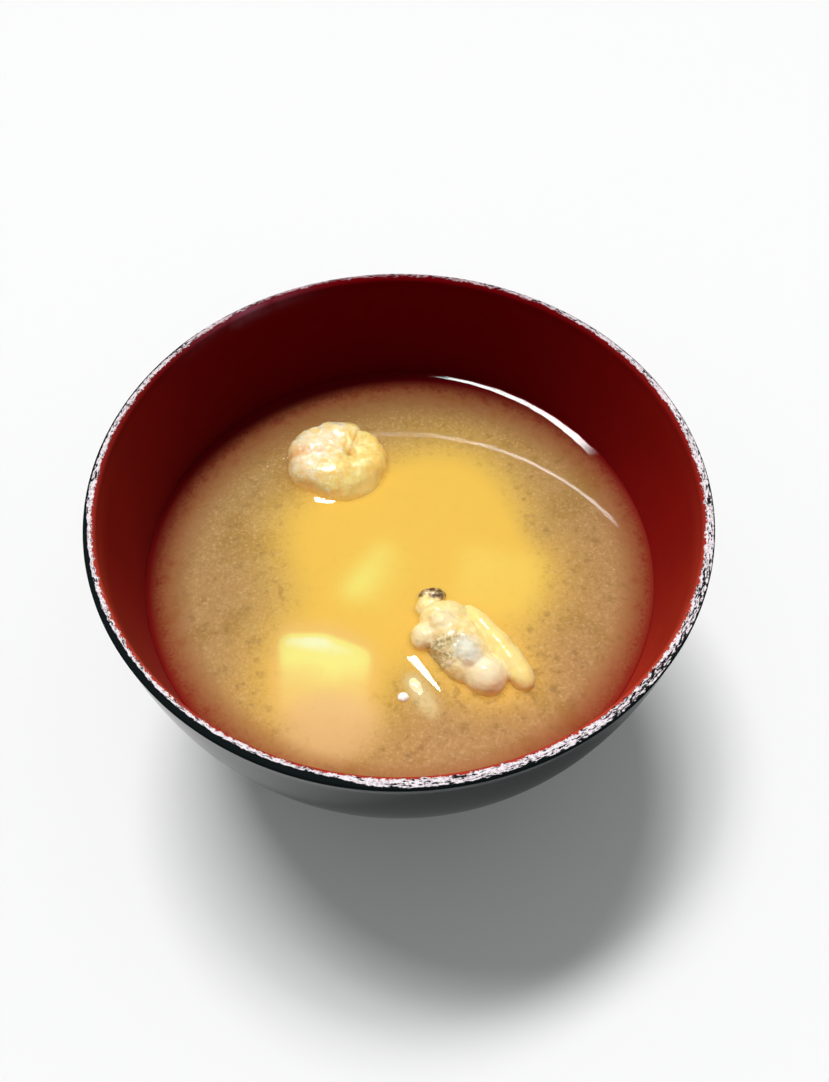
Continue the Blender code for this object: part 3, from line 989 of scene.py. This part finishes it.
def clear_broth():
    """Clear liquid: only its wet shine shows, along a long ripple and where it wets the pieces."""
    f = Finish("clear_broth")
    side = f.axis("x") * 1000.0
    back = f.axis("y") * 1000.0
    ripple = from_point(f, 0.0, RIPPLE_Y) - RIPPLE_RADIUS * 1000.0
    on_ripple = f.step(ripple, -1.0, -0.5) * f.step(ripple, 1.0, 0.5)
    waves = (f.step(ripple, -0.7, 0.7) - f.step(ripple, 0.7, 5.0)) * f.step(side, 49.0, 44.0) * 0.22

    shrimp_rim = 10.9 - from_point(f, -15.0 * MM, 24.6 * MM)
    by_shrimp = f.step(side, -20.0, -18.2) * f.step(side, -12.2, -14.2)
    waves = waves + (f.step(shrimp_rim, -1.1, 0.8) - f.step(shrimp_rim, 1.0, 5.0)) * by_shrimp * 0.19

    # a straight wet line beside the clam, wide at its back end and pointed at its front end
    down_line = (side - 1.9) * 0.5965 - (back + 23.1) * 0.8026
    to_clam = (side - 1.9) * 0.8026 + (back + 23.1) * 0.5965
    half_width = 1.05 - down_line * 0.08
    by_clam = f.step(down_line, -1.0, 0.4) * f.step(down_line, 9.8, 8.4)
    wet_line = f.step(to_clam / half_width, -1.0, 1.0) - f.step(to_clam, 1.0, 5.0)
    waves = waves + wet_line * half_width * by_clam * 0.13

    shine = f.math("MINIMUM", f.node("Fresnel", (), {"IOR": 1.34}), 0.06)
    # reflection is masked off where the skin mark is 0 and dimmed along the ripple
    shine = shine * f.marked("skin") * (1 - on_ripple * 0.72)
    clear = f.node("BsdfTransparent", (), {"Color": (1.0, 1.0, 1.0, 1.0)})
    gloss = {"Color": (1.0, 1.0, 1.0, 1.0), "Roughness": 0.03, "Normal": f.bump(waves, MM)}
    return f.done(f.node("MixShader", (), {0: shine, 1: clear, 2: f.node("BsdfGlossy", (), gloss)}))


def cloud_depth(gap):
    """How far under the surface the clouded part lies at a distance from the wall."""
    return VEIL_DROP + EDGE_DROP * math.exp(-((max(gap, 0.0) / EDGE_REACH) ** 1.5))


def cloud_profile():
    wall = inner_radius(LEVEL)
    edge = inner_radius(LEVEL - cloud_depth(0.0)) - 0.02 * MM
    points = [(radius, LEVEL - cloud_depth(wall - radius)) for radius in top_radii(edge)]
    rings = len(points)
    for lower in spaced(30 * MM, FLOOR_START_DEPTH, 6):
        points.append(inner_point(lower, 0.5 * MM))
    points += [floor_point(share, 0.5 * MM) for share in (0.8, 0.5, 0.0)]
    return points, rings


def blurred(field, spread):
    """A field smoothed over a distance."""
    count = field.shape[0]
    turns = np.fft.fftfreq(count, GRID_CELL)
    fade = np.exp(-2 * (math.pi * spread) ** 2 * (turns[:, None] ** 2 + turns[None, :] ** 2))
    return np.real(np.fft.ifft2(np.fft.fft2(field) * fade))


def sampled(field, places):
    """A field's values at points, between its cells."""
    count = field.shape[0]
    where = (places[:, :2] + GRID_HALF) / GRID_CELL
    where = np.clip(where, 0, count - 1.001)
    low = where.astype(int)
    part = where - low
    near_x = field[low[:, 0], low[:, 1]] * (1 - part[:, 0]) + field[low[:, 0] + 1, low[:, 1]] * part[:, 0]
    far_x = (
        field[low[:, 0], low[:, 1] + 1] * (1 - part[:, 0])
        + field[low[:, 0] + 1, low[:, 1] + 1] * part[:, 0]
    )
    return near_x * (1 - part[:, 1]) + far_x * part[:, 1]


def depth_field(tree):
    """Depth of a piece's top under the level over a square grid, or a large number beside it."""
    count = int(2 * GRID_HALF / GRID_CELL) + 1
    field = np.full((count, count), 1.0)
    down = Vector((0, 0, -1))
    low, high = np.min(tree["points"], axis=0), np.max(tree["points"], axis=0)
    for i in range(count):
        x = i * GRID_CELL - GRID_HALF
        if not low[0] <= x <= high[0]:
            continue
        for j in range(count):
            y = j * GRID_CELL - GRID_HALF
            if not low[1] <= y <= high[1]:
                continue
            hit = tree["tree"].ray_cast(Vector((x, y, LEVEL + 8 * MM)), down)
            if hit[0] is not None:
                field[i, j] = max(hit[3] - 8 * MM, 0.0)
    return field


def glow(depth, fade, spread):
    """How strongly a piece shows through the soup: 1 where it touches the top."""
    return blurred(np.where(depth < 0.5, np.exp(-depth / (fade * MM)), 0.0), spread * MM)


def eased(values, low, high):
    share = np.clip((values - low) / (high - low), 0, 1)
    return share * share * (3 - 2 * share)


def make_cloud(blocks, afloat):
    """The clouded miso under the surface, with what shines through it stored on its points."""
    profile, rings = cloud_profile()
    piece = turned(profile, "miso_cloud")
    refine(piece, [float_block["tree"] for float_block in afloat], 2.5 * MM, profile, rings)
    places = points_of(piece)
    radius = np.hypot(places[:, 0], places[:, 1])
    gap = inner_radius(LEVEL) - radius
    round_angle = np.degrees(np.arctan2(places[:, 1], places[:, 0]))

    depths = [depth_field(block) for block in blocks]
    grid = np.arange(depths[0].shape[0]) * GRID_CELL - GRID_HALF
    heap_gap = np.hypot(grid[:, None] - HEAP_X, grid[None, :] - HEAP_Y)
    heap = (np.min(depths, axis=0) < 0.5) | (heap_gap < HEAP_RADIUS)
    gap_between = np.hypot(places[:, 0] - 30 * MM, places[:, 1] - 6.5 * MM) / (4 * MM)
    warm = eased(sampled(blurred(heap.astype(float), 9.0 * MM), places), 0.0, 0.51)
    mark(piece, "warm", warm * (1 - 0.5 * np.exp(-(gap_between**2))))
    mark(piece, "warm_far", eased(sampled(blurred(heap.astype(float), 14.0 * MM), places), 0.0, 0.5))

    front, ridge, right = depths[:3]
    ridge_glow = glow(ridge, 1.0, 1.8)
    right_glow = glow(right, 2.0, 1.7)
    mark(piece, "ridge", sampled(ridge_glow / ridge_glow.max(), places))
    mark(piece, "right_glow", sampled(right_glow / right_glow.max(), places))
    mark(piece, "front_block", sampled(blurred((front < 0.5).astype(float), 1.7 * MM), places))
    mark(piece, "front_near", sampled(glow(front, 2.4, 0.7), places))
    show = np.zeros_like(front)
    for block, seen in zip(afloat, (0.5, 0.5, 0.4)):
        show = np.maximum(show, glow(depth_field(block), 0.9, 0.5) * seen)
    mark(piece, "cover", 1 - np.clip(sampled(show, places), 0, 1))
    # painted light: a lighter amber pool round the clam stands for light scattered through the broth beside it
    clam_part = (depth_field(afloat[1]) < 0.5).astype(float)
    mark(piece, "beside_clam", np.clip(sampled(blurred(clam_part, 4.2 * MM), places) * 2.3, 0, 1))
    strip_glow = glow(depth_field(afloat[-1]), 3.2, 0.6) * 1.3
    mark(piece, "strip", np.clip(sampled(strip_glow, places), 0, 1))

    # painted light and shade: away is 0 at the back and 1 at the front; near the wall the cloud thins to the red haze
    # all round, and further from the wall towards the back, which paints the darker band there
    away = 0.5 - 0.5 * np.cos(np.radians(round_angle - 105.0))
    painted_shade_behind = (1 - away) ** 2.25
    start = -0.6 + 4.2 * painted_shade_behind + 0.9 * (hump(round_angle, -28, 28) + hump(round_angle, -150, 28))
    full = 8.1 + 9.0 * painted_shade_behind
    mark(piece, "thick", np.clip((gap / MM - start) / (full - start), 0, 1))
    mark(piece, "turned_away", away)
    return piece


def miso_cloud():
    """Suspended miso: sandy and grainy, amber over the tofu, thinning to the red wall, with painted light towards the
    front, painted shade at the back, a painted glow round the clam and painted glints.
    """
    f = Finish("miso_cloud")
    side = f.axis("x") * 1000.0
    back = f.axis("y") * 1000.0
    warm = f.marked("warm")
    thick = f.marked("thick")
    away = f.marked("turned_away")
    grit = f.grain(0.6 * MM, 3, 0.7)
    clots = f.grain(2.3 * MM, 3, 0.6)
    drifts = f.grain(11 * MM, 3, 0.6, 0.6)

    # painted light and shade: the sand is painted lighter towards the front and darker towards the back
    sand = f.blend(f.step(back, -50.0, 50.0), (0.447, 0.257, 0.098, 1), (0.338, 0.203, 0.068, 1))
    sand = f.blend(f.step(side, 5.0, 50.0) * 0.6, sand, (0.428, 0.226, 0.086, 1))
    sand = f.blend(f.marked("warm_far") * 0.5, sand, (0.54, 0.345, 0.085, 1))
    olive = f.step(drifts, 0.50, 0.66) * f.step(warm, 1.0, 0.55)
    sand = f.blend(olive * 0.6, sand, (0.33, 0.185, 0.045, 1))
    # painted shade: the red seen through the clear edge is painted darker at the back, where shade falls, and lighter
    # towards the front
    haze = f.blend(away, (0.138, 0.002, 0.005, 1), (0.24, 0.012, 0.008, 1))
    solid = thick + ((clots - 0.5) * 0.45 + (grit - 0.5) * 0.8) * f.step(thick, 0.0, 0.25) * f.step(thick, 0.95, 0.6)
    solid = f.node("Clamp", (), {0: solid})
    colour = f.blend(warm, sand, (0.79, 0.500, 0.078, 1))
    # painted light: lighter amber round the clam
    colour = f.blend(f.marked("beside_clam") * 0.9, colour, (0.77, 0.48, 0.09, 1))
    colour = f.blend(f.marked("right_glow") * 0.8, colour, (0.82, 0.58, 0.11, 1))
    colour = f.blend(f.marked("ridge"), colour, (0.80, 0.685, 0.15, 1))
    near = f.marked("front_near")
    curd = f.blend(f.step(near, 0.10, 0.36), (0.785, 0.505, 0.155, 1), (0.80, 0.607, 0.177, 1))
    curd = f.blend(f.step(near, 0.25, 0.44), curd, (0.815, 0.765, 0.22, 1))
    curd = f.blend(f.step(near, 0.48, 0.66), curd, (0.82, 0.846, 0.49, 1))
    colour = f.blend(f.marked("front_block"), colour, curd)
    apart = f.node("Math", {"operation": "POWER"}, {0: (side + 13.0) / 9.0, 1: 2.0})
    apart = apart + f.node("Math", {"operation": "POWER"}, {0: (back + 37.0) / 6.5, 1: 2.0})
    pale = f.step(apart, 1.8, 0.1)
    colour = f.blend(pale * 0.72, colour, (0.735, 0.475, 0.215, 1))
    colour = f.blend(f.marked("strip") * 0.9, colour, (0.82, 0.64, 0.30, 1))
    plain = (1 - f.step(warm, 0.35, 1.0)) * (1 - f.marked("front_block")) * (1 - pale * 0.9)
    texture = plain * 0.9 + 0.06
    colour = f.blend(f.step(grit, 0.52, 0.8) * 0.42 * texture, colour, (0.18, 0.09, 0.03, 1))
    colour = f.blend(f.step(grit, 0.50, 0.28) * 0.42 * texture, colour, (0.72, 0.50, 0.26, 1))
    colour = f.blend(f.step(clots, 0.52, 0.72) * 0.45 * texture, colour, (0.22, 0.12, 0.035, 1))
    # painted highlight: small bright specks stand for glints on the soup
    glint_speck = f.step(f.cells(2.9 * MM), 0.06, 0.035)
    colour = f.blend(glint_speck * 0.3 * plain, colour, (0.95, 0.78, 0.42, 1))
    colour = f.blend(solid, haze, colour)
    body = f.node(
        "BsdfPrincipled",
        (),
        {
            "Base Color": colour,
            "Roughness": f.step(grit, 0.3, 0.7, 0.8, 0.95),
            "Specular IOR Level": 0.0,
            "Alpha": f.marked("cover"),
            "Normal": f.bump(grit, 0.10 * MM, 0.3),
        },
    )
    return f.done(body)


# ---------------------------------------------------------------- build

bowl = finish_piece(make_bowl(), lacquer(), "lacquered_plastic", "bowl")
shrimp = finish_piece(make_shrimp(), shrimp_flesh(), "shrimp_flesh", "shrimp")
clam = finish_piece(make_clam(), clam_flesh(), "clam_flesh", "clam")
mantle = mantle_flesh()
strip = finish_piece(make_strip(), mantle, "clam_mantle", "clam_strip")
crumb = finish_piece(make_crumb(), mantle, "clam_mantle")

curd = tofu_curd()
front_block = make_tofu(
    "tofu_front_left", (18.6, 17.6, 11.0), (-23.7, -18.2, -0.75), -1, 12, 0.6, 1.0, (9.2, 4.2)
)
finish_piece(front_block, curd, "tofu_curd", "tofu")
for piece in (shrimp, clam, strip, crumb):
    piece.visible_shadow = False
sunk = [
    make_tofu("tofu_middle", (15, 12, 10), (-11.6, -9.4, -0.6), 58, 22, 2, 2.0),
    make_tofu("tofu_right", (17, 15, 10), (13.0, 2.5, -2.0), -14, 6, 1, 3.0),
    make_tofu("tofu_back_right", (16, 15, 10), (3.3, 25.0, -3.3), -3, 4, 1, 4.0),
    make_tofu("tofu_under_shrimp", (19, 13, 10), (-23.0, 14.0, -3.6), -8, 4, 1, 5.0),
]
for block in sunk:
    finish_piece(block, curd, "tofu_curd")

broth = finish_piece(make_broth(), clear_broth(), "miso_broth", "soup")
blocks = [block_of(front_block)] + [block_of(block) for block in sunk]
afloat = [block_of(shrimp), block_of(clam), block_of(strip)]
cloud = finish_piece(make_cloud(blocks, afloat), miso_cloud(), "miso_broth")

# ---------------------------------------------------------------- setting


def make_floor():
    clear_selection()
    bpy.ops.mesh.primitive_plane_add(size=6.0, location=(0, 0, -0.05 * MM))
    floor = named("pale_floor")
    f = Finish("pale_floor")
    shade = f.blend(f.grain(0.2, 2), (0.80, 0.80, 0.80, 1), (0.802, 0.802, 0.802, 1))
    shader = f.node("BsdfPrincipled", (), {"Base Color": shade, "Roughness": 0.7, "Specular IOR Level": 0.2})
    floor.data.materials.append(f.done(shader))
    return floor


def add_sun(name, toward, energy, angle):
    clear_selection()
    bpy.ops.object.light_add(type="SUN", location=toward * 1.5)
    lamp = bpy.context.object
    lamp.name = name
    lamp.data.energy = energy
    lamp.data.color = (1.0, 0.985, 0.99)
    lamp.data.angle = math.radians(angle)
    lamp.rotation_euler = toward.to_track_quat("Z", "Y").to_euler()
    return lamp


def make_lights():
    """A broad soft lamp as three neighbouring suns, a small one for the gleams, and a pale surround."""
    middle = Vector((-0.16, 0.334, 0.929)).normalized()
    level_axis = Vector((0, 0, 1)).cross(middle).normalized()
    tilt_axis = middle.cross(level_axis)
    for number, offset in enumerate((-8.0, 0.0, 8.0)):
        toward = Matrix.Rotation(math.radians(offset), 3, tilt_axis) @ middle
        soft = add_sun(f"soft_lamp_{number + 1}", toward, 1.0, 10)
        soft.visible_glossy = False
    gleam = add_sun("gleam_lamp", Vector((-0.085, 0.334, 0.93)).normalized(), 1.6, 12)
    gleam.visible_diffuse = False
    world = bpy.data.worlds.new("studio")
    world.use_nodes = True
    world.node_tree.nodes["Background"].inputs["Color"].default_value = (0.955, 1.0, 0.99, 1.0)
    world.node_tree.nodes["Background"].inputs["Strength"].default_value = 0.36
    bpy.context.scene.world = world


def make_camera():
    eye = bpy.data.cameras.new("viewpoint")
    eye.sensor_width = 36.0
    eye.lens = 32.27
    eye.clip_start = 0.01
    camera = bpy.data.objects.new("viewpoint", eye)
    camera.location = (0.0, -0.107107, 0.211581)
    camera.rotation_euler = [math.radians(angle) for angle in (33.4525, -0.5281, -0.7080)]
    bpy.context.scene.collection.objects.link(camera)
    bpy.context.scene.camera = camera


make_floor()
make_lights()
make_camera()
bpy.context.scene.view_settings.view_transform = "Standard"

clear_selection()
